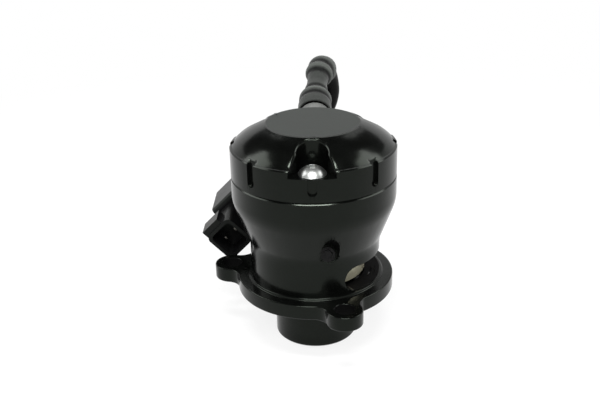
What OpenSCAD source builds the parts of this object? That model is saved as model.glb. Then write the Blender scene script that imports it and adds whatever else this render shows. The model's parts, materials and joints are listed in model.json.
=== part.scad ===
// Electronically controlled blow off valve: a sprung piston in a turned body on a three-ear flange.
// Millimetres, +Z up, the valve's axis is Z, and Z = 0 is the end of the inlet spigot.
// The cap's front screw faces -Y. Azimuths are degrees from the front, positive towards +X.

/* [Flange adapter] */
// Outer radius of the inlet spigot
spigot_r = 14; // [13:0.25:15]
// Radius of the inlet bore
inlet_bore_r = 11.5; // [10:0.25:12]
// Length of the spigot below the flange
spigot_len = 18.2; // [12:0.1:30]
// Thickness of the flange
flange_t = 5; // [4.5:0.25:8]
// Radius of the round part of the flange
flange_r = 26.7; // [25.5:0.1:28]
// Diameter of the bolt circle
bolt_circle = 60; // [58:0.5:68]
// Radius of a bolt hole
bolt_hole_r = 3.3; // [2.7:0.1:3.7]
// Outer radius of an ear round its bolt hole
ear_r = 6; // [5:0.25:8]
// Radius of the hollow blend between an ear and the ring
ear_blend_r = 5; // [3:0.5:9]
// Azimuth of the ear at the front
ear_front = 19; // [10:1:30]
// Azimuth of the ear at the back
ear_back = 152; // [146:1:158]
// Azimuth of the ear at the left
ear_left = 259; // [250:1:262]
// Height of the raised lip that the body stands on
lip_h = 0.8; // [0.4:0.1:1.5]
// Width of the lip that shows round the body's foot
lip_out = 1; // [0.5:0.1:1.5]
// Radius of the seat face under the piston
seat_r = 13.5; // [13:0.1:14]

/* [Body] */
// Radius of the piston bore
bore_r = 17; // [16.5:0.1:17.5]
// Wall of the tail that stands in the flange adapter
tail_wall = 2.5; // [2:0.1:3]
// Radius of the body's foot
foot_r = 22.1; // [21.8:0.1:23]
// Radius of the waist
waist_r = 22; // [21.5:0.1:22.5]
// Height of the waist above the lip
waist_h = 12.2; // [11:0.2:14]
// Radius of the collar under the cap
collar_r = 27.6; // [27:0.1:28]
// Height of the collar's lower edge above the lip
collar_h = 26.4; // [24:0.2:28]
// Height of the body above the lip
body_h = 35.4; // [34:0.2:40]
// Height of the vent window's sill above the lip
window_sill = 0.2; // [0.2:0.1:0.6]
// Height of the vent window
window_h = 8.6; // [6:0.1:9]
// Azimuth of the window's first end
window_from = 27; // [20:1:40]
// Azimuth of the window's other end
window_to = 153; // [120:1:165]
// Height of the blanking plug's hole above the lip
plug_h = 14.5; // [13:0.5:16]
// Azimuth of the blanking plug
plug_azimuth = 13; // [5:1:25]
// Radius of the blanking plug
plug_r = 2.5; // [2:0.1:2.8]
// Downward slope of the plug's hole
plug_slope = 35; // [30:1:40]
// Distance of the milled pad at the back from the axis
pad_y = 24; // [23:0.25:25]

/* [Cap] */
// Height of the cap's rim
rim_h = 10.4; // [9.5:0.1:12]
// Height of the cap's shoulder above the rim
shoulder_h = 7.2; // [6.5:0.1:8.5]
// Radius of the flat disc on top
disc_r = 15.4; // [14.5:0.1:16]
// Depth of a screw pocket's floor below the rim's top edge
pocket_drop = 2.3; // [1.5:0.1:3]
// Radius of the round end of a screw pocket
pocket_r = 4.9; // [4.7:0.1:5.4]
// Half width of a screw pocket at the rim
pocket_mouth = 8.6; // [7.5:0.1:9]
// Number of screws in the cap
screw_count = 3; // [3:1:4]
// Distance of a cap screw from the rim's edge
screw_edge = 5.2; // [4.8:0.1:5.6]
// Radius of a cap screw's shank
screw_r = 2; // [1.5:0.1:2]
// Radius of a cap screw's head
screw_head_r = 4.5; // [3.6:0.1:4.6]
// Number of grooves round the rim
groove_count = 8; // [6:1:12]
// Width of a rim groove
groove_w = 3; // [2.5:0.1:5]
// Depth of a rim groove
groove_d = 1.2; // [0.6:0.1:2]
// Height of a rim groove's round end above the seam
groove_h = 2.5; // [1.5:0.1:4]

/* [Piston] */
// Height of the piston
piston_h = 20; // [17:0.5:22]
// Thickness of the piston's crown
crown_t = 3; // [2.5:0.25:4]
// Radius of the bleed hole through the crown
bleed_r = 0.6; // [0.3:0.1:1]
// Wall of the piston's skirt
skirt_wall = 2.4; // [2.2:0.1:2.8]
// Mean radius of the piston spring
spring_r = 11.2; // [10.6:0.1:11.6]
// Wire diameter of the piston spring
spring_wire = 1.8; // [1.2:0.1:2.2]
// Turns of the piston spring
spring_turns = 7; // [5:0.5:9]

/* [Hose and fitting] */
// Height of the fitting's hole above the seam
fitting_h = 4.4; // [4:0.1:5]
// Upward slope of the fitting
fitting_slope = 17; // [10:1:25]
// Radius of the fitting's threaded shank
fitting_r = 2.5; // [2.2:0.1:2.8]
// Radius of the fitting's collar
fitting_collar_r = 5.6; // [5:0.1:6]
// Radius of the hose's neck
hose_r = 3.8; // [3.2:0.1:4]
// Radius of the hose's bore
hose_bore_r = 1.9; // [1.5:0.1:2.2]

/* [Solenoid] */
// Width of the solenoid block across its axis
block_w = 17.4; // [17:0.2:19]
// Depth of the solenoid block along Y
block_d = 20; // [19:0.5:22]
// Length of the block along its axis
block_len = 43; // [42:0.5:43.5]
// Width of the connector shroud across its lock
shroud_w = 12.4; // [11.5:0.1:13]
// Width of the connector shroud along its lock
shroud_l = 11.6; // [11:0.1:13]
// Length of the connector shroud in front of the block
shroud_reach = 15; // [13:0.5:17]
// Wall of the connector shroud
shroud_wall = 1.2; // [1:0.1:1.6]
// Depth of the connector's socket
socket_depth = 9; // [7:0.5:10]
// Distance between the two terminals
pin_pitch = 5; // [4:0.1:5.4]
// Radius of the coil's bore in the block
coil_r = 7.6; // [7.2:0.1:7.8]
// Radius of the plunger
plunger_r = 3.4; // [3:0.1:3.6]
// Stroke of the plunger
plunger_stroke = 1.2; // [0.6:0.1:1.5]

/* [Fits] */
// Running clearance of sliding pieces, on the radius
run_gap = 0.05; // [0.02:0.01:0.1]
// Clearance of pieces that are put together, on the radius
fit_gap = 0.05; // [0.02:0.01:0.1]
// Gap under a sprung piece at rest
rest_gap = 0.1; // [0.05:0.05:0.3]

/* [Hidden] */
$fn = 96;

eps = 0.01;
over = 1;
ear_azimuths = [ear_front, ear_back, ear_left];
spigot_step = 0.3;
blend_bite = 0.05;
floor_t = 2;
end_gap = 0.3;

// Heights
flange_top = spigot_len + flange_t;
lip_top = flange_top + lip_h;
tail_end = spigot_len + floor_t;
seam = lip_top + body_h;
waist_z = lip_top + waist_h;
collar_z = lip_top + collar_h;
rim_top = seam + rim_h;
cap_top = rim_top + shoulder_h;
pocket_floor = rim_top - pocket_drop;
tail_r = bore_r + tail_wall;
lip_r = foot_r + lip_out;
screw_circle_r = collar_r - screw_edge;

// Body's outline, plug and threads
waist_low = 4.4;
waist_high = 1.9;
waist_out = 0.7;
waist_ease = 2;
collar_in = 1;
collar_ease = 2.2;
wedge_steps = 3;
window_round = 0.97;
plug_face_r = 20.2;
plug_counter_r = plug_r + 0.6;
plug_len = 1.6;
plug_sink = 0.2;
plug_drill = 3;
thread_depth = 9;
lead_in = 0.6;

// Seals and grooves
ring_w = 1.5;
ring_d = 1.1;
ring_squash = 0.02;
seal_section = (ring_d + fit_gap) / 2 - ring_squash;
face_seal_r = 22.8;
face_seal_section = 0.9;
foot_seal_z = tail_end + 2 * end_gap;
retainer_section = 0.5;
retainer_z = flange_top;
retainer_split = [3, 4, 4];
retainer_azimuth = -60;

// Piston
piston_r = bore_r - run_gap;
piston_in_r = piston_r - skirt_wall;
washer_t = 1.2;
washer_r = seat_r + 1.2;
washer_in_r = inlet_bore_r - 0.6;
seat_top = lip_top - 0.5;
piston_z = seat_top + washer_t + rest_gap;
crown_top = piston_z + crown_t;
piston_top = piston_z + piston_h;
spring_low = crown_top;
spring_boss_r = spring_r - spring_wire / 2 - 0.6;
spring_boss_h = 3;
seal_drop = 4.5;
wear_rise = 9;
seal_groove_z = piston_top - seal_drop;
wear_groove_z = piston_z + wear_rise;
wear_split = [0.8, 6, 12];
wear_azimuth = 200;
spring_steps = 20;
spring_sides = 8;
closed_turns = 0.9;
closed_pitch = 0.35;

// Cap
chamber_r = spring_r + spring_wire / 2 + 1;
chamber_top = cap_top - 5.5;
register_r = tail_r;
register_h = 4;
register_wall = 2.8;
cap_seal_z = seam - register_h + 1;
chamber_low = pocket_floor - 5;
chamber_cone = 4;
shoulder_in = 0.8;
shoulder_steps = 7;
shoulder_pull = [0.36, 0.6];
disc_out = 0.5;
disc_drop = 0.25;
screw_clear = 0.25;
pocket_root = 0.95;
pocket_in = 1.4;
edge = 0.4;

// Cap screw
head_h = 2.8;
head_dome = 5.2;
screw_len = 16;
hex_r = 1.75;
hex_depth = 1.5;

// Fitting
fitting_y = collar_r;
fitting_z = seam + fitting_h;
shank_len = 4.6;
barb_len = 11;
passage_r = 1.6;
spot_depth = 1.6;
spot_clear = 0.6;
spot_reach = 20;
shank_gap = 0.5;
washer_gap_t = 1;
fitting_low = washer_gap_t - spot_depth;
fitting_end = 10.8;
washer_face_r = 5.2;
cuff_rise = 2.4;
swell_rise = 1.4;
socket_rise = 1.4;
ridge_h = 0.5;
ridge_half = 0.45;
ridge_places = [1.75, 2.75, 5.25, 6.25];
cuff_span = [1.4, 3.7];
swell_up = [3.9, 5.4];
swell_down = [6.6, 8.2];
socket_span = 3;

// Solenoid frame: local Z runs up to the right at 45 degrees, local X down to the right
sol_x = -30.9;
sol_y = 38;
sol_drop = 30.7;
sol_z = seam - sol_drop;
sol_roll = 45;
block_low = -2.5;
block_round = 2;
port_u = 35.4;
nipple_u = 24.4;
nipple_len = 11;
coil_low = block_low + 2.2;
coil_top = 22.6;
valve_r = 4.2;
orifice_r = 1.2;
orifice_low = 25.3;
orifice_top = 27;
gallery_top = 37;
gallery_r = 2;

// Where the solenoid stands on the body's milled pad
block_front = sol_y - block_d / 2;
foot_t = block_front + over - pad_y;
port_x = sol_x + port_u * sin(sol_roll);
port_z = sol_z + port_u * cos(sol_roll);
port_r = 3.2;
port_depth = 3;
port_pad_r = 4.6;
port_seal_z = 1.5;
high_screw = [8.5, -6.7];
low_screw = [3.5, -14.2];
foot_screws = [for (p = [high_screw, low_screw]) p + [0, seam]];
foot_ear_r = 3.6;
foot_screw_r = 1.5;
foot_head_r = 2.75;
foot_head_h = 2.4;
foot_bite = 5;
drill_r = 0.8;
drill_circle_r = 18.15;
drill_y = sqrt(drill_circle_r * drill_circle_r - port_x * port_x);
nozzle_r = 1.1;

// Connector
mouth_y = -block_d / 2 - shroud_reach;
shroud_in = 6;
shroud_root = shroud_in - block_d / 2;
shroud_round = 2.2;
socket_w = shroud_w - 2 * shroud_wall;
socket_l = shroud_l - 2 * shroud_wall;
pin_w = 1.5;
pin_t = 0.8;
pin_len = 4.5;
pin_root = 4;
lock_h = 2.2;
lock_w = 7.6;
lock_low = -5.4;
lock_from = 0.8;
lock_len = 8;
nipple_collar_r = 4;
nipple_collar = 2.4;

// Coil and plunger
bobbin_len = coil_top - coil_low - rest_gap;
bobbin_cheek = 1.2;
bobbin_r = plunger_r + 1;
core_top = 10.6;
plunger_low = core_top + plunger_stroke + end_gap;
tip_r = plunger_r - 0.4;
tip_t = 1.2;
plunger_top = orifice_low - rest_gap - tip_t;
pocket_in_r = 2.4;
pocket_depth = 4;
light_wire = 0.5;
light_turns = 6;
light_steps = 14;
light_sides = 6;

// Hose route, chosen points: cap fitting, rise, bend, and down to the solenoid's nipple
hose_route = [
  [0, 38.4, 67.3], [0, 42, 68.4], [0.2, 47, 69.9], [0.5, 52, 72], [0.9, 57, 74],
  [1.5, 61.5, 75.5], [2.5, 66, 76.2], [3.5, 70, 75.2], [4.6, 73.2, 72.6], [5.4, 75.2, 68.6],
  [5.6, 75.8, 64.2], [4.4, 75.2, 59.6], [1.6, 73.2, 55.2], [-3, 69.8, 51], [-7.6, 65.4, 48],
  [-11.6, 60.6, 46.4], [-13.4, 55.6, 46], [-13.6, 50.6, 46]
];
hose_steps = 4;
hose_sides = 12;

function lerp(a, b, t) = a + (b - a) * t;
function unit(v) = v / norm(v);

// Points of a smooth bend between two points, pulled towards a third
function bend(a, pull, b, steps = 6) =
  [for (i = [0:steps]) let (t = i / steps) lerp(lerp(a, pull, t), lerp(pull, b, t), t)];

// A smooth curve through all points
function curve_point(p, i, t) =
  let (
    last = len(p) - 1,
    a = p[max(i - 1, 0)],
    b = p[i],
    c = p[min(i + 1, last)],
    d = p[min(i + 2, last)]
  )
  0.5 * (2 * b + (c - a) * t + (2 * a - 5 * b + 4 * c - d) * t * t
    + (3 * b - a - 3 * c + d) * t * t * t);

function curve(p, steps) =
  concat(
    [for (i = [0:len(p) - 2]) for (k = [0:steps - 1]) curve_point(p, i, k / steps)],
    [p[len(p) - 1]]
  );

function heading(p, i) = unit(p[min(i + 1, len(p) - 1)] - p[max(i - 1, 0)]);

// One ring of a tube round a path point
function ring_points(centre, along, ref, r, sides) =
  let (side = unit(cross(along, ref)), up = cross(side, along))
  [for (k = [0:sides - 1]) let (a = 360 * k / sides) centre + r * (cos(a) * up + sin(a) * side)];

// A closed tube along a path, with a radius for every point
module tube(path, radii, ref, sides) {
  rings = len(path);
  points = [
    for (i = [0:rings - 1]) each ring_points(path[i], heading(path, i), ref, radii[i], sides)
  ];
  walls = [
    for (i = [0:rings - 2]) for (k = [0:sides - 1]) let (n = (k + 1) % sides)
      [i * sides + k, (i + 1) * sides + k, (i + 1) * sides + n, i * sides + n]
  ];
  first = [[for (k = [0:sides - 1]) k]];
  last = [[for (k = [sides - 1:-1:0]) (rings - 1) * sides + k]];
  polyhedron(points = points, faces = concat(walls, first, last), convexity = 10);
}

// A compression spring between two heights, its end turns closed up
function coil_lift(t, turns) =
  let (closed = closed_turns / turns, low = closed_pitch * closed)
  t < closed ? closed_pitch * t : t > 1 - closed ? 1 - closed_pitch * (1 - t)
    : lerp(low, 1 - low, (t - closed) / (1 - 2 * closed));

module coil_spring(low, high, r, wire, turns, steps, sides) {
  count = ceil(turns * steps);
  path = [
    for (i = [0:count]) let (t = i / count, a = 360 * turns * t)
      [r * cos(a), r * sin(a), lerp(low + wire / 2, high - wire / 2, coil_lift(t, turns))]
  ];
  tube(path, [for (p = path) wire / 2], [0, 0, 1], sides);
}

// A rectangular section ring
module ring(outer, inner, low, h) {
  translate([0, 0, low]) difference() {
    cylinder(r = outer, h = h);
    translate([0, 0, -over]) cylinder(r = inner, h = h + 2 * over);
  }
}

// A seal of round section
module o_ring(mean_r, section_r, z) {
  translate([0, 0, z]) rotate_extrude() translate([mean_r, 0]) circle(r = section_r, $fn = 32);
}

module round_rect(w, h, r) {
  square([w - 2 * r, h], center = true);
  square([w, h - 2 * r], center = true);
  for (x = [-1, 1]) for (y = [-1, 1])
    translate([x * (w / 2 - r), y * (h / 2 - r)]) circle(r = r, $fn = 32);
}

module at_azimuth(azimuth) {
  rotate([0, 0, azimuth]) children();
}

// Flange adapter

module flange_outline() {
  far = flange_r + ear_blend_r - blend_bite;
  near = ear_r + ear_blend_r - blend_bite;
  c = bolt_circle / 2;
  turn = acos((c * c + far * far - near * near) / (2 * c * far));
  circle(r = flange_r);
  for (a = ear_azimuths) rotate(a - 90) {
    translate([c, 0]) circle(r = ear_r);
    difference() {
      polygon([[0, 0], far * [cos(turn), -sin(turn)], [c, 0], far * [cos(turn), sin(turn)]]);
      for (s = [-1, 1]) translate(far * [cos(turn), s * sin(turn)]) circle(r = ear_blend_r);
    }
  }
}

module flange_adapter() color([0.09, 0.09, 0.1]) difference() {
  union() {
    translate([0, 0, spigot_len]) linear_extrude(flange_t) flange_outline();
    translate([0, 0, flange_top - eps]) cylinder(r = lip_r, h = lip_h + eps);
  }
  translate([0, 0, tail_end]) difference() {
    cylinder(r = tail_r + fit_gap, h = lip_top - tail_end + over);
    translate([0, 0, -over]) cylinder(r = seat_r, h = seat_top - tail_end + over);
  }
  translate([0, 0, spigot_len - over])
    cylinder(r = inlet_bore_r + spigot_step, h = lip_top - spigot_len + 2 * over);
  for (a = ear_azimuths) at_azimuth(a) translate([0, -bolt_circle / 2, spigot_len - over])
    cylinder(r = bolt_hole_r, h = flange_t + 2 * over, $fn = 48);
  ring(face_seal_r + ring_d, face_seal_r - ring_d, spigot_len - over, over + 2 * face_seal_section);
  o_ring(tail_r + fit_gap, retainer_section, retainer_z);
}

module inlet_spigot() color([0.09, 0.09, 0.1]) rotate_extrude() polygon([
  [inlet_bore_r, 0], [spigot_r - 2 * edge, 0], [spigot_r, 2 * edge],
  [spigot_r, spigot_len], [inlet_bore_r, spigot_len]
]);

module flange_seal() color([0.05, 0.05, 0.05])
  o_ring(face_seal_r, face_seal_section - ring_squash, spigot_len + face_seal_section);

// Body

// Straight flank between the waist's bend and the collar's bend
flank_low = [waist_r + waist_out, waist_z + waist_high];
flank_high = [collar_r - collar_in, collar_z - collar_ease];
flank_slope = (flank_high[0] - flank_low[0]) / (flank_high[1] - flank_low[1]);
collar_start = flank_high[1] + collar_in / flank_slope;

function body_wall() = concat(
  [[foot_r, lip_top]],
  bend([foot_r, waist_z - waist_low], flank_low - waist_ease * [flank_slope, 1], flank_low),
  bend(flank_high, [collar_r, collar_start], [collar_r, collar_start + collar_ease]),
  [[collar_r, seam - edge], [collar_r - edge, seam]]
);

// The vent window: a wedge from the axis, with a round end on each side
module window_cut() {
  far = 2 * collar_r;
  end_r = window_round * window_h / 2;
  trim = asin(end_r / foot_r);
  first = window_from + trim - 90;
  last = window_to - trim - 90;
  translate([0, 0, lip_top + window_sill]) {
    linear_extrude(window_h) polygon(concat(
      [[0, 0]],
      [for (k = [0:wedge_steps]) let (a = lerp(first, last, k / wedge_steps)) far * [cos(a), sin(a)]]
    ));
    for (a = [window_from + trim, window_to - trim]) at_azimuth(a)
      translate([0, -bore_r / 2, window_h / 2]) rotate([90, 0, 0])
        cylinder(r = end_r, h = collar_r, $fn = 48);
  }
}

// Places children at the plug's seat, with +Z out along the hole
module at_plug() {
  at_azimuth(plug_azimuth) translate([0, -plug_face_r, lip_top + plug_h])
    rotate([90 - plug_slope, 0, 0]) children();
}

module body() color([0.1, 0.1, 0.11]) difference() {
  rotate_extrude() polygon(concat(
    [[bore_r, tail_end + end_gap], [tail_r, tail_end + end_gap], [tail_r, lip_top]],
    body_wall(),
    [[register_r + fit_gap, seam], [register_r + fit_gap, seam - register_h - end_gap],
      [bore_r, seam - register_h - end_gap - lead_in]]
  ));
  window_cut();
  at_plug() {
    cylinder(r = plug_counter_r, h = collar_r, $fn = 48);
    translate([0, 0, -plug_len]) cylinder(r = plug_r + fit_gap, h = plug_len + over, $fn = 48);
    translate([0, 0, -plug_len - plug_drill]) cylinder(r = passage_r, h = plug_drill + over, $fn = 48);
  }
  for (i = [0:screw_count - 1]) at_azimuth(i * 360 / screw_count)
    translate([0, -screw_circle_r, seam - thread_depth])
      cylinder(r = screw_r + fit_gap, h = thread_depth + over, $fn = 48);
  translate([-collar_r, pad_y, waist_z]) cube([2 * collar_r, collar_r, body_h]);
  ring(tail_r + over, tail_r - ring_d, foot_seal_z, ring_w);
  o_ring(tail_r, retainer_section + fit_gap, retainer_z);
  for (p = foot_screws) on_pad(p) translate([0, 0, -over])
    cylinder(r = foot_screw_r + fit_gap, h = foot_bite + 2 * over, $fn = 32);
  body_passage();
}

module foot_seal() color([0.05, 0.05, 0.05])
  o_ring(tail_r + fit_gap - seal_section - ring_squash, seal_section, foot_seal_z + ring_w / 2);

module body_retainer() color([0.7, 0.71, 0.72]) difference() {
  o_ring(tail_r + fit_gap / 2, retainer_section - ring_squash, retainer_z);
  at_azimuth(retainer_azimuth) translate([0, -tail_r, retainer_z]) cube(retainer_split, center = true);
}

module blanking_plug() color([0.14, 0.14, 0.15]) at_plug() difference() {
  translate([0, 0, -plug_len]) cylinder(r = plug_r, h = plug_len - plug_sink, $fn = 48);
  translate([0, 0, plug_sink - hex_depth]) cylinder(r = hex_r, h = hex_depth, $fn = 6);
}

// Piston

module piston() color([0.52, 0.49, 0.38]) difference() {
  translate([0, 0, piston_z]) rotate_extrude() polygon([
    [0, 0], [piston_r - edge, 0], [piston_r, edge],
    [piston_r, piston_h - edge], [piston_r - edge, piston_h],
    [piston_in_r, piston_h], [piston_in_r, crown_t], [spring_boss_r, crown_t],
    [spring_boss_r, crown_t + spring_boss_h - edge], [spring_boss_r - edge, crown_t + spring_boss_h],
    [0, crown_t + spring_boss_h]
  ]);
  ring(piston_r + over, piston_r - ring_d, seal_groove_z, ring_w);
  ring(piston_r + over, piston_r - ring_d, wear_groove_z, 2 * ring_w);
  ring(washer_r + fit_gap, washer_in_r - fit_gap, piston_z - over, over + washer_t / 2);
  translate([0, 0, piston_z - over]) cylinder(r = bleed_r, h = piston_h, $fn = 32);
}

module piston_seal() color([0.06, 0.06, 0.06])
  o_ring(bore_r - seal_section - ring_squash, seal_section, seal_groove_z + ring_w / 2);

module piston_wear_ring() color([0.86, 0.83, 0.74]) difference() {
  ring(piston_r + run_gap / 2, piston_r - ring_d + fit_gap, wear_groove_z + fit_gap,
    2 * ring_w - 2 * fit_gap);
  at_azimuth(wear_azimuth) translate([0, -piston_r, wear_groove_z]) cube(wear_split, center = true);
}

module seat_washer() color([0.12, 0.07, 0.05])
  ring(washer_r, washer_in_r, piston_z - washer_t, 1.5 * washer_t);

module piston_spring() color([0.6, 0.61, 0.63])
  coil_spring(spring_low, chamber_top, spring_r, spring_wire, spring_turns, spring_steps, spring_sides);

// Cap

// A screw pocket seen from above: a round end that widens towards the rim
module pocket_outline() {
  c = screw_circle_r - pocket_in;
  out = collar_r + over;
  root = pocket_root * pocket_r;
  translate([0, -c]) circle(r = pocket_r, $fn = 64);
  polygon([[-root, -c], [root, -c], [pocket_mouth, -out], [-pocket_mouth, -out]]);
}

module rim_groove() {
  half = groove_w / 2;
  translate([0, -collar_r + groove_d, seam + groove_h + half]) rotate([90, 0, 0])
    cylinder(r = half, h = groove_d + over, $fn = 48);
  translate([-half, -collar_r - over, seam + groove_h + half]) cube([groove_w, groove_d + over, rim_h]);
}

function cap_shell() = concat(
  [[register_r, seam - register_h], [register_r, seam], [collar_r - edge, seam],
    [collar_r, seam + edge], [collar_r, rim_top - edge], [collar_r - edge, rim_top]],
  bend([collar_r - shoulder_in, rim_top + run_gap],
    [lerp(collar_r, disc_r, shoulder_pull[0]), lerp(rim_top, cap_top, shoulder_pull[1])],
    [disc_r + disc_out, cap_top - disc_drop], shoulder_steps),
  [[disc_r, cap_top], [0, cap_top], [0, chamber_top], [chamber_r, chamber_top],
    [chamber_r, chamber_low], [register_r - register_wall, chamber_low - chamber_cone],
    [register_r - register_wall, seam - register_h]]
);

// Places children on the fitting's axis, +Z out of the cap
module at_fitting() {
  translate([0, fitting_y, fitting_z]) rotate([fitting_slope - 90, 0, 0]) children();
}

module cap() color([0.1, 0.1, 0.11]) difference() {
  rotate_extrude() polygon(cap_shell());
  for (i = [0:screw_count - 1]) at_azimuth(i * 360 / screw_count) {
    translate([0, 0, pocket_floor]) linear_extrude(cap_top - pocket_floor + over) pocket_outline();
    translate([0, -screw_circle_r, seam - over]) cylinder(r = screw_r + screw_clear, h = rim_h, $fn = 48);
  }
  for (i = [0:groove_count - 1]) let (turn = i * 360 / groove_count)
    if (turn != 180) at_azimuth(turn) rim_groove();
  at_fitting() {
    translate([0, 0, -spot_depth]) cylinder(r = washer_face_r + spot_clear, h = spot_reach, $fn = 64);
    translate([0, 0, -spot_depth - shank_len])
      cylinder(r = fitting_r + fit_gap, h = shank_len + over, $fn = 48);
    translate([0, 0, -collar_r]) cylinder(r = passage_r, h = collar_r, $fn = 48);
  }
  ring(register_r + over, register_r - ring_d, cap_seal_z, ring_w);
}

module cap_seal() color([0.05, 0.05, 0.05])
  o_ring(register_r + fit_gap - seal_section - ring_squash, seal_section, cap_seal_z + ring_w / 2);

module cap_screw() {
  difference() {
    union() {
      intersection() {
        cylinder(r = screw_head_r, h = head_h);
        translate([0, 0, head_h - head_dome]) sphere(r = head_dome);
      }
      translate([0, 0, -screw_len]) cylinder(r = screw_r, h = screw_len + over, $fn = 48);
    }
    translate([0, 0, head_h - hex_depth]) cylinder(r = hex_r, h = hex_depth + over, $fn = 6);
  }
}

module cap_screws() color([0.78, 0.79, 0.8])
  for (i = [0:screw_count - 1]) at_azimuth(i * 360 / screw_count)
    translate([0, -screw_circle_r, pocket_floor]) cap_screw();

// Hose and its fitting

module cap_fitting() color([0.62, 0.63, 0.64]) at_fitting() difference() {
  union() {
    translate([0, 0, -spot_depth - shank_len + shank_gap])
      cylinder(r = fitting_r, h = shank_len + washer_gap_t, $fn = 48);
    translate([0, 0, fitting_low]) cylinder(r = fitting_collar_r, h = fitting_end - fitting_low, $fn = 64);
    translate([0, 0, fitting_end - over]) cylinder(r = hose_bore_r, h = barb_len + over, $fn = 48);
  }
  translate([0, 0, -spot_depth - shank_len]) cylinder(r = nozzle_r, h = 2 * collar_r, $fn = 32);
}

module fitting_washer() color([0.55, 0.34, 0.2]) at_fitting()
  ring(washer_face_r, fitting_r + fit_gap, -spot_depth, washer_gap_t);

// A smooth step from 0 to 1 between two places
function ease(x, span) =
  let (t = min(max((x - span[0]) / (span[1] - span[0]), 0), 1)) t * t * (3 - 2 * t);

// A rounded ridge of half width w
function ridge(x, place, w) = abs(x - place) < w ? (1 + cos(180 * (x - place) / w)) / 2 : 0;

// Radius of the hose at a place counted in route points: two moulded swells and a socket at the end
function hose_radius(x) =
  let (last = len(hose_route) - 1)
  hose_r + cuff_rise * (1 - ease(x, cuff_span)) + swell_rise * (ease(x, swell_up) - ease(x, swell_down))
    + socket_rise * ease(x, [last - socket_span, last - socket_span + 1])
    + ridge_h * max([for (place = ridge_places) ridge(x, place, ridge_half)]);

module hose() color([0.16, 0.16, 0.16]) difference() {
  path = curve(hose_route, hose_steps);
  tube(path, [for (i = [0:len(path) - 1]) hose_radius(i / hose_steps)], [1, 0, 0], hose_sides);
  at_fitting() cylinder(r = hose_bore_r + fit_gap, h = fitting_end + barb_len + rest_gap, $fn = 48);
  at_solenoid() translate([0, block_d / 2, nipple_u]) rotate([-90, 0, 0])
    cylinder(r = hose_bore_r + fit_gap, h = nipple_collar + nipple_len + rest_gap, $fn = 48);
}

// Solenoid

module at_solenoid() {
  translate([sol_x, sol_y, sol_z]) rotate([0, sol_roll, 0]) children();
}

// Places children on the pad where the solenoid's port meets the body, +Z into the body
module at_port() {
  translate([port_x, pad_y, port_z]) rotate([90, 0, 0]) children();
}

// Places children on the pad at a place across and up, +Z into the body
module on_pad(place) {
  translate([place[0], pad_y, place[1]]) rotate([90, 0, 0]) children();
}

// The port's hole in the pad, and the passage from it to the space under the piston
module body_passage() {
  at_port() translate([0, 0, -over]) {
    cylinder(r = port_r + fit_gap, h = port_depth + over, $fn = 48);
    cylinder(r = drill_r, h = pad_y - drill_y + over, $fn = 32);
  }
  translate([port_x, drill_y, lip_top - drill_r])
    cylinder(r = drill_r, h = port_z - lip_top + drill_r, $fn = 32);
  translate([port_x, drill_y, lip_top]) rotate([90, 0, 0])
    cylinder(r = drill_r, h = drill_y - bore_r / 2, $fn = 32);
}

module foot_outline() {
  hull() {
    translate([port_x, port_z]) circle(r = port_pad_r, $fn = 32);
    for (p = foot_screws) translate(p) circle(r = foot_ear_r, $fn = 32);
  }
}

module solenoid_block() {
  translate([0, 0, block_low]) linear_extrude(block_len) round_rect(block_w, block_d, block_round);
  translate([0, shroud_root, 0]) rotate([90, 0, 0])
    linear_extrude(shroud_root - mouth_y) round_rect(shroud_w, shroud_l, shroud_round);
  translate([-shroud_w / 2 - lock_h, mouth_y + lock_from, lock_low])
    cube([lock_h + over, lock_len, lock_w]);
  translate([0, block_d / 2 - over, nipple_u]) rotate([-90, 0, 0]) {
    cylinder(r = nipple_collar_r, h = nipple_collar + over, $fn = 48);
    cylinder(r = hose_bore_r, h = nipple_collar + nipple_len + over, $fn = 48);
  }
}

module solenoid_cuts() {
  translate([0, 0, block_low - over]) cylinder(r = coil_r, h = coil_top - block_low + over);
  translate([0, 0, coil_top - eps]) cylinder(r = valve_r, h = orifice_low - coil_top + eps, $fn = 48);
  cylinder(r = orifice_r, h = orifice_top, $fn = 32);
  translate([0, 0, orifice_top - eps]) cylinder(r = gallery_r, h = gallery_top - orifice_top, $fn = 32);
  translate([0, mouth_y + socket_depth, 0]) rotate([90, 0, 0])
    linear_extrude(socket_depth + over) round_rect(socket_w, socket_l, shroud_round - shroud_wall / 2);
  translate([0, 0, nipple_u]) rotate([-90, 0, 0])
    cylinder(r = nozzle_r, h = block_d + nipple_len, $fn = 32);
  translate([0, 0, port_u]) rotate([90, 0, 0])
    cylinder(r = nozzle_r, h = block_d + port_depth, $fn = 32);
  for (s = [-1, 1]) translate([0, mouth_y + socket_depth - over, s * pin_pitch / 2])
    rotate([-90, 0, 0]) linear_extrude(pin_root + over) square([pin_w, pin_t], center = true);
}

module solenoid_housing() color([0.07, 0.07, 0.075]) difference() {
  union() {
    at_solenoid() solenoid_block();
    translate([0, block_front + over, 0]) rotate([90, 0, 0]) linear_extrude(foot_t) foot_outline();
    at_port() cylinder(r = port_r, h = port_depth - rest_gap, $fn = 48);
  }
  at_solenoid() solenoid_cuts();
  at_port() ring(port_r + over, port_r - ring_d, port_seal_z - ring_w / 2, ring_w);
  for (p = foot_screws) on_pad(p) translate([0, 0, -foot_t - over])
    cylinder(r = foot_screw_r + fit_gap, h = foot_t + 2 * over, $fn = 32);
}

module terminal_pins() color([0.8, 0.78, 0.7]) at_solenoid()
  for (s = [-1, 1]) translate([0, mouth_y + socket_depth - pin_len, s * pin_pitch / 2])
    rotate([-90, 0, 0]) linear_extrude(pin_len + pin_root - fit_gap)
      square([pin_w - 2 * fit_gap, pin_t - 2 * fit_gap], center = true);

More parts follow.
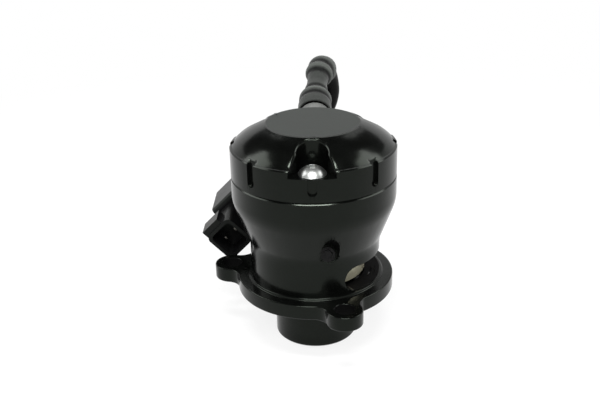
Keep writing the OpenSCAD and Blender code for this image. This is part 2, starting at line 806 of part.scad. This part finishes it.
module coil_bobbin() color([0.75, 0.73, 0.66]) at_solenoid() difference() {
  translate([0, 0, coil_low]) rotate_extrude() polygon([
    [plunger_r + run_gap, 0], [coil_r - 2 * fit_gap, 0],
    [coil_r - 2 * fit_gap, bobbin_cheek], [bobbin_r, bobbin_cheek],
    [bobbin_r, bobbin_len - bobbin_cheek], [coil_r - 2 * fit_gap, bobbin_len - bobbin_cheek],
    [coil_r - 2 * fit_gap, bobbin_len], [plunger_r + run_gap, bobbin_len]
  ]);
}

module coil_winding() color([0.62, 0.32, 0.16]) at_solenoid()
  ring(coil_r - 4 * fit_gap, bobbin_r + fit_gap, coil_low + bobbin_cheek + fit_gap,
    bobbin_len - 2 * bobbin_cheek - 2 * fit_gap);

module solenoid_core() color([0.6, 0.6, 0.62]) at_solenoid() difference() {
  translate([0, 0, coil_low]) cylinder(r = plunger_r, h = core_top - coil_low, $fn = 48);
  translate([0, 0, core_top - pocket_depth]) cylinder(r = pocket_in_r, h = pocket_depth + over, $fn = 48);
}

module solenoid_cover() color([0.35, 0.35, 0.36]) at_solenoid()
  translate([0, 0, block_low]) cylinder(r = coil_r - fit_gap, h = coil_low - block_low - fit_gap);

module plunger() color([0.66, 0.66, 0.68]) at_solenoid() difference() {
  translate([0, 0, plunger_low]) cylinder(r = plunger_r, h = plunger_top - plunger_low, $fn = 48);
  translate([0, 0, plunger_low - over]) cylinder(r = pocket_in_r, h = pocket_depth + over, $fn = 48);
}

module plunger_tip() color([0.1, 0.1, 0.1]) at_solenoid()
  translate([0, 0, plunger_top]) cylinder(r = tip_r, h = tip_t, $fn = 48);

module plunger_spring() color([0.7, 0.71, 0.72]) at_solenoid()
  coil_spring(core_top - pocket_depth, plunger_low + pocket_depth, pocket_in_r - light_wire, light_wire,
    light_turns, light_steps, light_sides);

module port_seal() color([0.05, 0.05, 0.05]) at_port()
  o_ring(port_r + fit_gap - seal_section - ring_squash, seal_section, port_seal_z);

module solenoid_screws() color([0.2, 0.2, 0.21])
  for (p = foot_screws) on_pad(p) difference() {
    union() {
      translate([0, 0, -foot_t - foot_head_h]) cylinder(r = foot_head_r, h = foot_head_h, $fn = 48);
      translate([0, 0, -foot_t - eps]) cylinder(r = foot_screw_r, h = foot_t + foot_bite, $fn = 48);
    }
    translate([0, 0, -foot_t - foot_head_h - over]) cylinder(r = hex_r, h = hex_depth + over, $fn = 6);
  }

flange_adapter();
inlet_spigot();
flange_seal();
body();
foot_seal();
body_retainer();
blanking_plug();
piston();
piston_seal();
piston_wear_ring();
seat_washer();
piston_spring();
cap();
cap_seal();
cap_screws();
cap_fitting();
fitting_washer();
hose();
solenoid_housing();
terminal_pins();
coil_bobbin();
coil_winding();
solenoid_core();
solenoid_cover();
plunger();
plunger_tip();
plunger_spring();
port_seal();
solenoid_screws();
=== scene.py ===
import bmesh
import bpy
import json
import math
from mathutils import Matrix, Vector


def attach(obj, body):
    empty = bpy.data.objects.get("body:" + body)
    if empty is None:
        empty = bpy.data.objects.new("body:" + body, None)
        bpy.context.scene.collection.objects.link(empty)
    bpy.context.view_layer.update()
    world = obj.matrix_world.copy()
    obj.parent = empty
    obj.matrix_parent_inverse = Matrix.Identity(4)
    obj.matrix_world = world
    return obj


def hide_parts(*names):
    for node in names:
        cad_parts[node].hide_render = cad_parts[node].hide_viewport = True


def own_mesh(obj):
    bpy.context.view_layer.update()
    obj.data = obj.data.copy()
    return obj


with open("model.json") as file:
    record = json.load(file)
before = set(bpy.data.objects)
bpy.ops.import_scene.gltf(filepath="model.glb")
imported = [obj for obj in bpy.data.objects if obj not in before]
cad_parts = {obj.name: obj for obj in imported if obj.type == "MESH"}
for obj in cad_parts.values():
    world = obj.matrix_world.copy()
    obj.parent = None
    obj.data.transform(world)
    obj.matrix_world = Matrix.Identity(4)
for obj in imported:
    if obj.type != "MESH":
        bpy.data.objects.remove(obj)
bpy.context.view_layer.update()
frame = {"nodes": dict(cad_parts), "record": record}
nodes = frame["nodes"]
record = frame["record"]
body_of = {node: body for body, members in record["behaviour"]["bodies"].items() for node in members}
bolt_holes = [mount for mount in record["mounts"] if mount["name"].startswith("bolt_hole")]
scene = bpy.context.scene
MM = 0.001

# Camera at the photograph's viewing angle: the eye, the lens and the sensor in millimetres, the turn
# and the roll in degrees, the clipping in metres
camera_eye = (0, -294.79, 175.01)
camera_ahead = (-0.01492, 0.91953, -0.39273)
camera_turn = 1.1
camera_roll = -1.347
camera_lens, camera_sensor = 57, 36
camera_clip = (0.01, 20)


def make_camera():
    turn = Matrix.Rotation(math.radians(camera_turn), 3, "Z")
    eye = turn @ (Vector(camera_eye) * MM)
    ahead = (turn @ Vector(camera_ahead)).normalized()
    right = ahead.cross(Vector((0, 0, 1))).normalized()
    up = right.cross(ahead)
    roll = math.radians(camera_roll)
    across = right * math.cos(roll) + up * math.sin(roll)
    over = up * math.cos(roll) - right * math.sin(roll)
    cam = bpy.data.objects.new("camera", bpy.data.cameras.new("camera"))
    scene.collection.objects.link(cam)
    cam.matrix_world = Matrix.Translation(eye) @ Matrix((across, over, -ahead)).transposed().to_4x4()
    cam.data.sensor_width = camera_sensor
    cam.data.lens = camera_lens
    cam.data.clip_start, cam.data.clip_end = camera_clip
    scene.camera = cam


# Materials

noise_roughness = 0.55
lathe_scale, lathe_rise = 2600, 0.8
fine_share, unpainted_share = 0.3, 0.25
colour_ends = (0.3, 0.7)
gloss_ends = (0.25, 0.75)
bump_strength = 0.35


class Graph:
    """A node tree, with short calls to add and join nodes."""

    def __init__(self, tree):
        self.tree = tree

    def feed(self, socket, value):
        """Set an input to a value, or join it to the output that feeds it."""
        if isinstance(value, bpy.types.NodeSocket):
            self.tree.links.new(value, socket)
        else:
            socket.default_value = value

    def add(self, kind, inputs=None, **settings):
        node = self.tree.nodes.new(kind)
        for key, value in settings.items():
            setattr(node, key, value)
        for key, value in (inputs or {}).items():
            self.feed(node.inputs[key], value)
        return node

    def math(self, operation, *values):
        return self.add("ShaderNodeMath", dict(enumerate(values)), operation=operation).outputs[0]

    def blend(self, a, b, share):
        return self.math("ADD", self.math("MULTIPLY", a, 1 - share), self.math("MULTIPLY", b, share))

    def spread(self, value, given, wanted):
        """Map a given range of a value to the wanted one."""
        return self.add("ShaderNodeMapRange", {
            "Value": value, "From Min": given[0], "From Max": given[1],
            "To Min": wanted[0], "To Max": wanted[1],
        }).outputs["Result"]

    def noise(self, coords, scale, detail):
        return self.add("ShaderNodeTexNoise", {
            "Vector": coords, "Scale": scale, "Detail": detail, "Roughness": noise_roughness,
        }).outputs["Fac"]

    def lathe_lines(self, coords):
        """Fine rings round the Z axis, on flat faces and on walls."""
        x, y, z = self.add("ShaderNodeSeparateXYZ", {0: coords}).outputs
        radius = self.math("SQRT", self.math("ADD", self.math("MULTIPLY", x, x), self.math("MULTIPLY", y, y)))
        along = self.math("ADD", radius, self.math("MULTIPLY", z, lathe_rise))
        return self.add(
            "ShaderNodeTexNoise", {"W": along, "Scale": lathe_scale, "Detail": 2}, noise_dimensions="1D",
        ).outputs["Fac"]

    def seen(self):
        """1 for a ray from the camera, a mirror or glass."""
        path = self.add("ShaderNodeLightPath")
        value = path.outputs["Is Camera Ray"]
        for other in ("Is Glossy Ray", "Is Transmission Ray"):
            value = self.math("MAXIMUM", value, path.outputs[other])
        return value


def new_material(name):
    mat = bpy.data.materials.new(name)
    mat.use_nodes = True
    return mat, Graph(mat.node_tree), mat.node_tree.nodes["Principled BSDF"]


def surface(name, dark, light, rough, metallic=0.0, specular=0.5, patch=120, grain=2500, depth=0.01,
            turned=0.0, tint=(1, 1, 1), sheen=0.0, painted_ridge_light=False):
    """A material that varies in colour and gloss over patches and has a fine grain.

    The grain's depth is in millimetres. Turned is the share of lathe lines in the grain, and a material
    with painted ridge light takes most of its colour from painted highlights and shade stored on the mesh.
    """
    mat, g, shader = new_material(name)
    place = g.add("ShaderNodeTexCoord").outputs["Object"]
    fine = g.noise(place, grain, 3)
    mixed = g.blend(g.noise(place, patch, 4), fine, fine_share)
    # Painted light: values on the mesh paint highlights on the hose's ridges and shade in its grooves
    if painted_ridge_light:
        painted_light = g.add("ShaderNodeAttribute", attribute_name="painted_ridge_light").outputs["Fac"]
        mixed = g.blend(painted_light, mixed, unpainted_share)
    ramp = g.add("ShaderNodeValToRGB", {"Fac": mixed})
    for element, position, colour in zip(ramp.color_ramp.elements, colour_ends, (dark, light)):
        element.position = position
        element.color = (*colour, 1)
    height = g.blend(fine, g.lathe_lines(place), turned) if turned else fine
    bump = g.add("ShaderNodeBump", {"Strength": bump_strength, "Distance": depth * MM, "Height": height})
    for key, value in {
        "Base Color": ramp.outputs["Color"], "Roughness": g.spread(mixed, gloss_ends, rough),
        "Normal": bump.outputs["Normal"], "Metallic": metallic, "Specular IOR Level": specular,
        "Specular Tint": (*tint, 1), "Sheen Weight": sheen,
    }.items():
        g.feed(shader.inputs[key], value)
    return mat


green_cast = (0.88, 1, 0.86)
anodised = surface("black_anodised", (0.0008, 0.0009, 0.0008), (0.002, 0.0022, 0.002), (0.14, 0.2),
                   specular=0.16, depth=0.006, turned=0.6, tint=green_cast)
disc_face = surface("cap_disc", (0.0165, 0.0182, 0.0168), (0.0245, 0.027, 0.025), (0.42, 0.52),
                    specular=0.1, grain=5200, depth=0.02, tint=green_cast)
# Painted shade: almost unreflecting black for the window's sill, the plug's recess and the bolt holes
painted_shade_cut = surface("painted_shade_cut", (0.0012, 0.0012, 0.0012), (0.0025, 0.0025, 0.0025), (0.55, 0.65),
                   specular=0.03)
stainless = surface("stainless", (0.3, 0.31, 0.3), (0.4, 0.41, 0.4), (0.32, 0.42), metallic=1, grain=3800,
                    depth=0.006)
plug_black = surface("plug_black", (0.002, 0.002, 0.002), (0.004, 0.004, 0.004), (0.3, 0.4), specular=0.08)
dark_steel = surface("black_steel", (0.02, 0.02, 0.021), (0.035, 0.035, 0.036), (0.34, 0.46), metallic=0.5)
wire = surface("spring_wire", (0.4, 0.41, 0.43), (0.55, 0.56, 0.58), (0.24, 0.36), metallic=1)
bronze = surface("bronze_anodised", (0.42, 0.4, 0.29), (0.54, 0.515, 0.385), (0.16, 0.24), metallic=0.6,
                 turned=0.7, depth=0.006)
copper = surface("copper", (0.5, 0.22, 0.1), (0.66, 0.32, 0.16), (0.3, 0.42), metallic=1)
fitting_metal = surface("fitting_metal", (0.11, 0.113, 0.108), (0.15, 0.154, 0.147), (0.35, 0.45),
                        metallic=0.4, turned=0.5)
iron = surface("magnetic_iron", (0.4, 0.4, 0.41), (0.5, 0.5, 0.51), (0.3, 0.42), metallic=1)
tinned = surface("terminal_metal", (0.1, 0.095, 0.085), (0.16, 0.15, 0.135), (0.3, 0.4), metallic=1)
nylon = surface("moulded_nylon", (0.003, 0.003, 0.0032), (0.006, 0.006, 0.0062), (0.26, 0.36),
                specular=0.09, grain=3200, depth=0.02, tint=green_cast)
cover_plastic = surface("cover_plastic", (0.014, 0.014, 0.015), (0.022, 0.022, 0.023), (0.45, 0.6),
                        specular=0.4)
pale_plastic = surface("bearing_plastic", (0.62, 0.59, 0.5), (0.74, 0.71, 0.62), (0.45, 0.6))
rubber = surface("seal_rubber", (0.008, 0.008, 0.008), (0.014, 0.014, 0.014), (0.55, 0.7), specular=0.35)
brown_rubber = surface("seat_rubber", (0.05, 0.025, 0.015), (0.08, 0.045, 0.03), (0.55, 0.7), specular=0.35)
# The hose's colour is mostly painted light: pale highlights on the ridges, dark shade in the grooves
hose_rubber = surface("hose_rubber", (0.004, 0.0044, 0.004), (0.058, 0.063, 0.058), (0.5, 0.64),
                      specular=0.05, patch=300, grain=2400, depth=0.05, sheen=0.1, painted_ridge_light=True)
# Painted shade: the hose's leg that returns to the solenoid, made black where it lies in shade
painted_shade_rubber = surface("painted_shade_hose_rubber", (0.002, 0.002, 0.002), (0.004, 0.004, 0.004), (0.3, 0.4),
                        specular=0.06)

finishes = {
    "flange_adapter": anodised, "inlet_spigot": anodised, "body": anodised, "cap": anodised,
    "blanking_plug": plug_black, "flange_seal": rubber, "foot_seal": rubber, "piston_seal": rubber,
    "cap_seal": rubber, "port_seal": rubber, "plunger_tip": rubber, "seat_washer": brown_rubber,
    "body_retainer": wire, "piston_spring": wire, "plunger_spring": wire, "piston": bronze,
    "piston_wear_ring": pale_plastic, "cap_screws": stainless, "cap_fitting": fitting_metal,
    "fitting_washer": copper, "hose": hose_rubber, "solenoid_housing": nylon, "solenoid_cover": cover_plastic,
    "terminal_pins": tinned, "coil_bobbin": pale_plastic, "coil_winding": copper, "solenoid_core": iron,
    "plunger": iron, "solenoid_screws": dark_steel,
}
for node, finish in finishes.items():
    nodes[node].data.materials.clear()
    nodes[node].data.materials.append(finish)


# Pieces

def stand_for(piece, node):
    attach(piece, body_of[node])
    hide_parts(node)
    return piece


def new_piece(name, mesh, finish):
    mesh.materials.clear()
    mesh.materials.append(finish)
    piece = bpy.data.objects.new(name, mesh)
    scene.collection.objects.link(piece)
    return piece


def refinish(name, finish, chosen):
    """Give a second finish to the chosen faces of a piece."""
    mesh = bpy.data.objects[name].data
    mesh.materials.append(finish)
    for face in mesh.polygons:
        if chosen(face):
            face.material_index = 1


# Widths in millimetres of the bevels that break each node's sharp edges
edge_breaks = {
    "flange_adapter": 0.4, "inlet_spigot": 0.3, "body": 0.3, "cap": 0.3, "cap_screws": 0.15,
    "blanking_plug": 0.12, "cap_fitting": 0.3, "solenoid_housing": 0.35, "solenoid_cover": 0.3,
    "solenoid_screws": 0.2, "piston": 0.2, "terminal_pins": 0.12,
}
lip_width = 0.9
edge_segments, lip_segments = 2, 4

# The cap's shoulder starts at this height in millimetres; angles are in degrees
shoulder_start = 69.85
edge_angle, flat_angle = 28, 0.5
join_distance = 0.001 * MM
normal_weight = 80

# How steep the faces on the two sides of a lip are, as the size of the normal's upward part
wall_limit, shoulder_limits = 0.15, (0.25, 0.995)


def mark_lips(bm):
    """Weight the edges where the cap's shoulder drops into a screw pocket."""
    weight = bm.edges.layers.float.new("bevel_weight_edge")
    for edge in bm.edges:
        if len(edge.link_faces) != 2 or min(v.co.z for v in edge.verts) < shoulder_start * MM:
            continue
        wall, shoulder = sorted(abs(f.normal.z) for f in edge.link_faces)
        if wall < wall_limit and shoulder_limits[0] < shoulder < shoulder_limits[1]:
            edge[weight] = 1


def add_bevel(piece, name, method, width, segments, clamp):
    bevel = piece.modifiers.new(name, "BEVEL")
    bevel.limit_method = method
    bevel.width = width * MM
    bevel.segments = segments
    bevel.use_clamp_overlap = clamp
    return bevel


def softened(node, width):
    """A copy of a node with its sharp edges broken by a small rounded bevel, in its place."""
    mesh = nodes[node].data.copy()
    bm = bmesh.new()
    bm.from_mesh(mesh)
    bmesh.ops.remove_doubles(bm, verts=bm.verts, dist=join_distance)
    bmesh.ops.dissolve_limit(bm, angle_limit=math.radians(flat_angle), verts=bm.verts, edges=bm.edges)
    for face in bm.faces:
        face.smooth = True
    if node == "cap":
        mark_lips(bm)
    bm.to_mesh(mesh)
    bm.free()
    if "custom_normal" in mesh.attributes:
        mesh.attributes.remove(mesh.attributes["custom_normal"])
    for edge in mesh.edges:
        edge.use_edge_sharp = False
    piece = new_piece(node + "_piece", mesh, finishes[node])
    if node == "cap":
        add_bevel(piece, "lips", "WEIGHT", lip_width, lip_segments, clamp=False)
    # Clamped, the flange's bevel shrinks to almost nothing
    bevel = add_bevel(piece, "bevel", "ANGLE", width, edge_segments, clamp=node != "flange_adapter")
    bevel.angle_limit = math.radians(edge_angle)
    even = piece.modifiers.new("even", "WEIGHTED_NORMAL")
    even.weight = normal_weight
    return stand_for(piece, node)


for node, width in edge_breaks.items():
    softened(node, width)


# Faces with a finish of their own: the cap's finer disc, and matt cuts made almost unreflecting black as
# painted shade

plug_points = [v.co for v in nodes["blanking_plug"].data.vertices]
plug_centre = sum(plug_points, Vector()) / len(plug_points)
cap_top = max(v.co.z for v in nodes["cap"].data.vertices)

# Limits in millimetres: the window's floor is below the first
sill_limit = 24.5
recess_reach = 7
disc_slack, hole_slack = 0.05, 0.1

# Limits of a face's direction
facing_up, upright, recess_outward = 0.99, 0.1, 0.75


def on_disc(face):
    return face.normal.z > facing_up and face.center.z > cap_top - disc_slack * MM


def in_window_or_recess(face):
    sill = face.normal.z > facing_up and face.center.z < sill_limit * MM
    outward = face.normal.dot(Vector((*face.center.xy, 0)).normalized())
    return sill or (
        (face.center - plug_centre).length < recess_reach * MM and outward < recess_outward
    )


def in_bolt_hole(face):
    return abs(face.normal.z) < upright and any(
        (face.center - Vector(hole["pos_m"])).xy.length < (hole["dims"]["r_mm"] + hole_slack) * MM
        for hole in bolt_holes
    )


refinish("cap_piece", disc_face, on_disc)
# Painted shade in the window, the plug's recess and the bolt holes
refinish("body_piece", painted_shade_cut, in_window_or_recess)
refinish("flange_adapter_piece", painted_shade_cut, in_bolt_hole)


# Tubes

def lerp(a, b, t):
    return a + (b - a) * t


def ease(x, low, high):
    t = min(max((x - low) / (high - low), 0), 1)
    return t * t * (3 - 2 * t)


def ridge(x, place, half):
    return (1 + math.cos(math.pi * (x - place) / half)) / 2 if abs(x - place) < half else 0.0


def curve_point(points, i, t):
    """A point on the smooth curve through the points, a share t of the way from point i to the next."""
    last = len(points) - 1
    a, b, c, d = points[max(i - 1, 0)], points[i], points[min(i + 1, last)], points[min(i + 2, last)]
    bend = 2 * a - 5 * b + 4 * c - d
    return 0.5 * (2 * b + (c - a) * t + bend * t * t + (3 * b - a - 3 * c + d) * t * t * t)


def tube(name, path, radii, ref, sides, finish):
    """A closed smooth tube along a path, with a radius for every point, all in millimetres."""
    bm = bmesh.new()
    angles = [2 * math.pi * k / sides for k in range(sides)]
    rings = []
    for i, p in enumerate(path):
        along = (path[min(i + 1, len(path) - 1)] - path[max(i - 1, 0)]).normalized()
        side = along.cross(ref).normalized()
        up = side.cross(along)
        rings.append([
            bm.verts.new((p + radii[i] * (math.cos(a) * up + math.sin(a) * side)) * MM) for a in angles
        ])
    for low, high in zip(rings, rings[1:]):
        for k in range(sides):
            n = (k + 1) % sides
            bm.faces.new((low[k], low[n], high[n], high[k]))
    bm.faces.new(list(reversed(rings[0])))
    bm.faces.new(rings[-1])
    bmesh.ops.recalc_face_normals(bm, faces=bm.faces)
    for face in bm.faces:
        face.smooth = len(face.verts) == 4
    mesh = bpy.data.meshes.new(name)
    bm.to_mesh(mesh)
    bm.free()
    return new_piece(name, mesh, finish)


# The moulded hose, along the route of the part's own hose. Places along it count the route's points.
hose_route = [Vector(p) for p in (
    (0, 38.4, 67.3), (0, 42, 68.4), (0.2, 47, 69.9), (0.5, 52, 72), (0.9, 57, 74), (1.5, 61.5, 75.5),
    (2.5, 66, 76.2), (3.5, 70, 75.2), (4.6, 73.2, 72.6), (5.4, 75.2, 68.6), (5.6, 75.8, 64.2),
    (4.4, 75.2, 59.6), (1.6, 73.2, 55.2), (-3, 69.8, 51), (-7.6, 65.4, 48), (-11.6, 60.6, 46.4),
    (-13.4, 55.6, 46), (-13.6, 50.6, 46),
)]
hose_last = len(hose_route) - 1
hose_r = 3.8
cuff_extra, cuff_span = 2.4, (1.4, 3.7)
swell_extra, swell_up, swell_down = 1.4, (3.9, 5.4), (6.6, 8.2)
socket_extra, socket_span = 1.4, (hose_last - 3, hose_last - 2)
mouth_round, mouth_span = 0.4, (0, 0.12)
ridge_h, ridge_half, hose_ridges = 0.35, 0.4, (2.1, 4.97, 6.05)
groove_depth, groove_half, hose_grooves = 0.35, 0.35, (1.4, 2.62, 4.55, 5.45)
# Painted light on the hose: how pale the ridges are painted as highlights and how dark the grooves as shade
plain_painted_light, ridge_highlight_gain, ridge_highlight_half, groove_shade_loss, groove_shade_half = 0.45, 0.5, 0.36, 0.33, 0.42
# The hose is painted black as shade from this route point on
painted_shade_from = 8
hose_steps, hose_sides = 16, 40


def hose_radius(x):
    r = hose_r + cuff_extra * (1 - ease(x, *cuff_span)) + socket_extra * ease(x, *socket_span)
    r += swell_extra * (ease(x, *swell_up) - ease(x, *swell_down))
    r += ridge_h * max(ridge(x, place, ridge_half) for place in hose_ridges)
    r -= groove_depth * max(ridge(x, place, groove_half) for place in hose_grooves)
    return r - mouth_round * (1 - ease(x, *mouth_span)) ** 2


def hose_painted_light(x):
    """Painted light: ridges are painted pale as highlights and grooves dark as shade."""
    ridge_highlight = max(ridge(x, place, ridge_highlight_half) for place in hose_ridges)
    dark = max(ridge(x, place, groove_shade_half) for place in hose_grooves)
    return plain_painted_light + ridge_highlight_gain * ridge_highlight - groove_shade_loss * dark


def hose_point(x):
    i = min(int(x), hose_last - 1)
    return curve_point(hose_route, i, x - i)


def make_hose():
    """The cuff and the swelling are dull; the leg that returns to the solenoid is smooth, and painted black
    as shade.
    """
    stations = [k / hose_steps for k in range(hose_last * hose_steps + 1)]
    path = [hose_point(x) for x in stations]
    radii = [hose_radius(x) for x in stations]
    piece = tube("hose_piece", path, radii, Vector((1, 0, 0)), hose_sides, hose_rubber)
    stand_for(piece, "hose")
    # Paint highlights on the ridges and shade in the grooves
    painted_ridge_light = piece.data.attributes.new("painted_ridge_light", "FLOAT", "POINT")
    for i, value in enumerate(painted_ridge_light.data):
        value.value = hose_painted_light(stations[i // hose_sides])
    # Painted shade: from this point on the hose is black
    refinish("hose_piece", painted_shade_rubber, lambda face: face.index >= painted_shade_from * hose_steps * hose_sides)


make_hose()


# Springs, in millimetres. The plunger's lies in the solenoid's own
# frame, which is tilted by an angle in degrees.

piston_wire, plunger_wire = 1.8, 0.5
piston_wire_sides, plunger_wire_sides = 14, 10
solenoid_place, solenoid_tilt = (-30.9, 38, 28.7), 45


def coil_path(low, high, r, wire_d, turns, steps):
    """A helix from low to high with its end turns closed up."""
    closed, pitch_share = 0.9 / turns, 0.35
    count = math.ceil(turns * steps)
    path = []
    for i in range(count + 1):
        t = i / count
        if t < closed:
            lift = pitch_share * t
        elif t > 1 - closed:
            lift = 1 - pitch_share * (1 - t)
        else:
            start = pitch_share * closed
            lift = lerp(start, 1 - start, (t - closed) / (1 - 2 * closed))
        a = 2 * math.pi * turns * t
        z = lerp(low + wire_d / 2, high - wire_d / 2, lift)
        path.append(Vector((r * math.cos(a), r * math.sin(a), z)))
    return path


def make_springs():
    """Coils for the piston's spring and for the plunger's, which lies in the solenoid's frame."""
    path = coil_path(low=27.8, high=71.5, r=11.2, wire_d=piston_wire, turns=7, steps=36)
    radii = [piston_wire / 2] * len(path)
    piece = tube("piston_spring_piece", path, radii, Vector((0, 0, 1)), piston_wire_sides, wire)
    stand_for(piece, "piston_spring")
    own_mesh(piece)

    turn = Matrix.Translation(solenoid_place) @ Matrix.Rotation(math.radians(solenoid_tilt), 4, "Y")
    along = (turn.to_3x3() @ Vector((0, 0, 1))).normalized()
    coil = coil_path(low=6.6, high=16.1, r=1.9, wire_d=plunger_wire, turns=6, steps=24)
    path = [turn @ p for p in coil]
    radii = [plunger_wire / 2] * len(path)
    piece = tube("plunger_spring_piece", path, radii, along, plunger_wire_sides, wire)
    stand_for(piece, "plunger_spring")
    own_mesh(piece)


make_springs()


# Studio, in metres

soft_light, white_light = 0.5, 1
floor_size = (8, 8)
floor_shade, floor_roughness = 0.85, 0.9
fade_span, glow_span = (0.15, 0.35), (0.8, 1)
light_target = Vector((0, 0, 0.05))
flag_place, flag_size = (0, 0.25, 0.6), (1.8, 1.7)


def make_world():
    """White where it is seen, and softer where it only lights."""
    world = bpy.data.worlds.new("studio")
    scene.world = world
    world.use_nodes = True
    world.node_tree.nodes.clear()
    g = Graph(world.node_tree)
    soft, white = (
        g.add("ShaderNodeBackground", {"Color": (v, v, v, 1)}).outputs[0] for v in (soft_light, white_light)
    )
    mix = g.add("ShaderNodeMixShader", {"Fac": g.seen(), 1: soft, 2: white})
    g.add("ShaderNodeOutputWorld", {"Surface": mix.outputs[0]})


def make_sheet(name, place, size, finish):
    x, y, z = place
    w, d = size[0] / 2, size[1] / 2
    mesh = bpy.data.meshes.new(name)
    corners = [(x - w, y - d, z), (x + w, y - d, z), (x + w, y + d, z), (x - w, y + d, z)]
    mesh.from_pydata(corners, [], [(0, 1, 2, 3)])
    return new_piece(name, mesh, finish)


def floor_white():
    """White that keeps a share of its shading, and so the shadow, near the object."""
    mat, g, shader = new_material("floor_white")
    g.feed(shader.inputs["Base Color"], (floor_shade, floor_shade, floor_shade, 1))
    g.feed(shader.inputs["Roughness"], floor_roughness)
    glow = g.add("ShaderNodeEmission", {"Color": (1, 1, 1, 1)})
    place = g.add("ShaderNodeNewGeometry").outputs["Position"]
    away = g.add("ShaderNodeVectorMath", {0: place}, operation="LENGTH").outputs["Value"]
    share = g.math("MULTIPLY", g.seen(), g.spread(away, fade_span, glow_span))
    mix = g.add("ShaderNodeMixShader", {"Fac": share, 1: shader.outputs[0], 2: glow.outputs[0]})
    g.feed(mat.node_tree.nodes["Material Output"].inputs["Surface"], mix.outputs[0])
    return mat


def make_floor():
    floor = make_sheet("floor", (0, 0, 0), floor_size, floor_white())


def make_flag():
    """A dark card that keeps the white surroundings out of the top's reflections."""
    flag = make_sheet("flag", flag_place, flag_size, rubber)
    flag.visible_camera = False


def make_light(name, place, size, power):
    data = bpy.data.lights.new(name, "AREA")
    data.shape = "RECTANGLE"
    data.size, data.size_y = size
    data.energy = power
    lamp = bpy.data.objects.new(name, data)
    scene.collection.objects.link(lamp)
    lamp.location = place
    lamp.rotation_euler = (light_target - Vector(place)).to_track_quat("-Z", "Y").to_euler()


make_camera()
make_world()
make_floor()
make_light("left_box", (-0.52, 0.1, 0.45), (0.3, 0.4), 2.4)
make_light("right_box", (0.52, 0.1, 0.45), (0.3, 0.4), 2.4)
make_light("back_box", (0, 0.5, 0.5), (0.5, 0.3), 0.8)
make_light("key_box", (0, -0.5, 0.4), (0.4, 0.2), 2.5)
make_light("front_box", (0, -0.21, 0.52), (0.3, 0.06), 3)
make_flag()
scene.view_settings.view_transform = "Standard"

bpy.context.view_layer.update()
